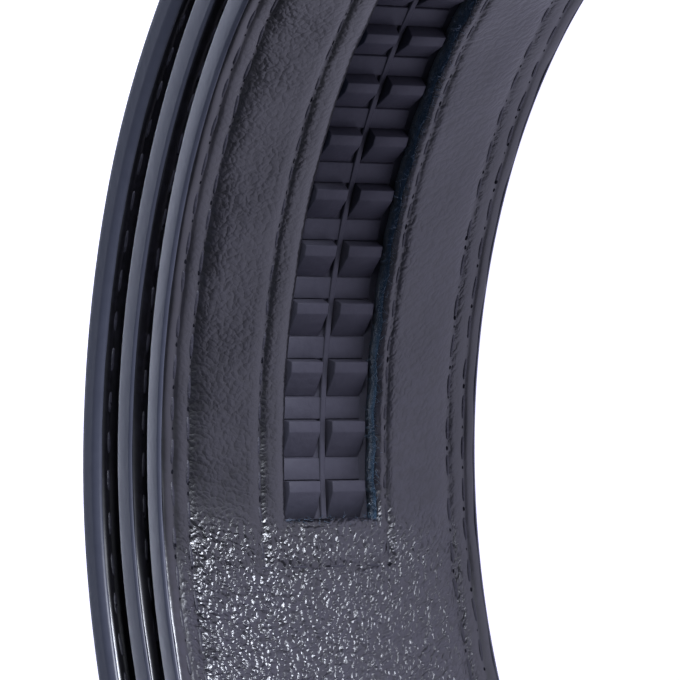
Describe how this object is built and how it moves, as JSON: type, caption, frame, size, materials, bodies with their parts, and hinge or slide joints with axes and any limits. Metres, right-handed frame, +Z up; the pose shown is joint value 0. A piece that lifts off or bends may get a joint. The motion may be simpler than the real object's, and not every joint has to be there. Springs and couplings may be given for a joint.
{
  "type": "ratchet belt",
  "caption": "Leather ratchet belt rolled up loosely and lying on its side, with a toothed track in its lining and a plain box buckle at its outer end.",
  "frame": {"origin": "on the ground under the middle of the belt's box", "axes": "+Z up along the roll's axis, +Y from the buckle across the roll to the side where the track starts, +X to the right of +Y"},
  "size_m": [0.1356, 0.1512, 0.039],
  "materials": {
    "face_leather": "navy-black pebbled leather with painted satin edges",
    "lining_leather": "navy-black pebbled leather, semi-gloss grain",
    "track_plastic": "moulded dark navy plastic, satin",
    "buckle_metal": "satin metal"
  },
  "bodies": {
    "root": {"strap_face": "face_leather", "strap_lining": "lining_leather", "ratchet_track": "track_plastic", "buckle": "buckle_metal"}
  },
  "joints": []
}
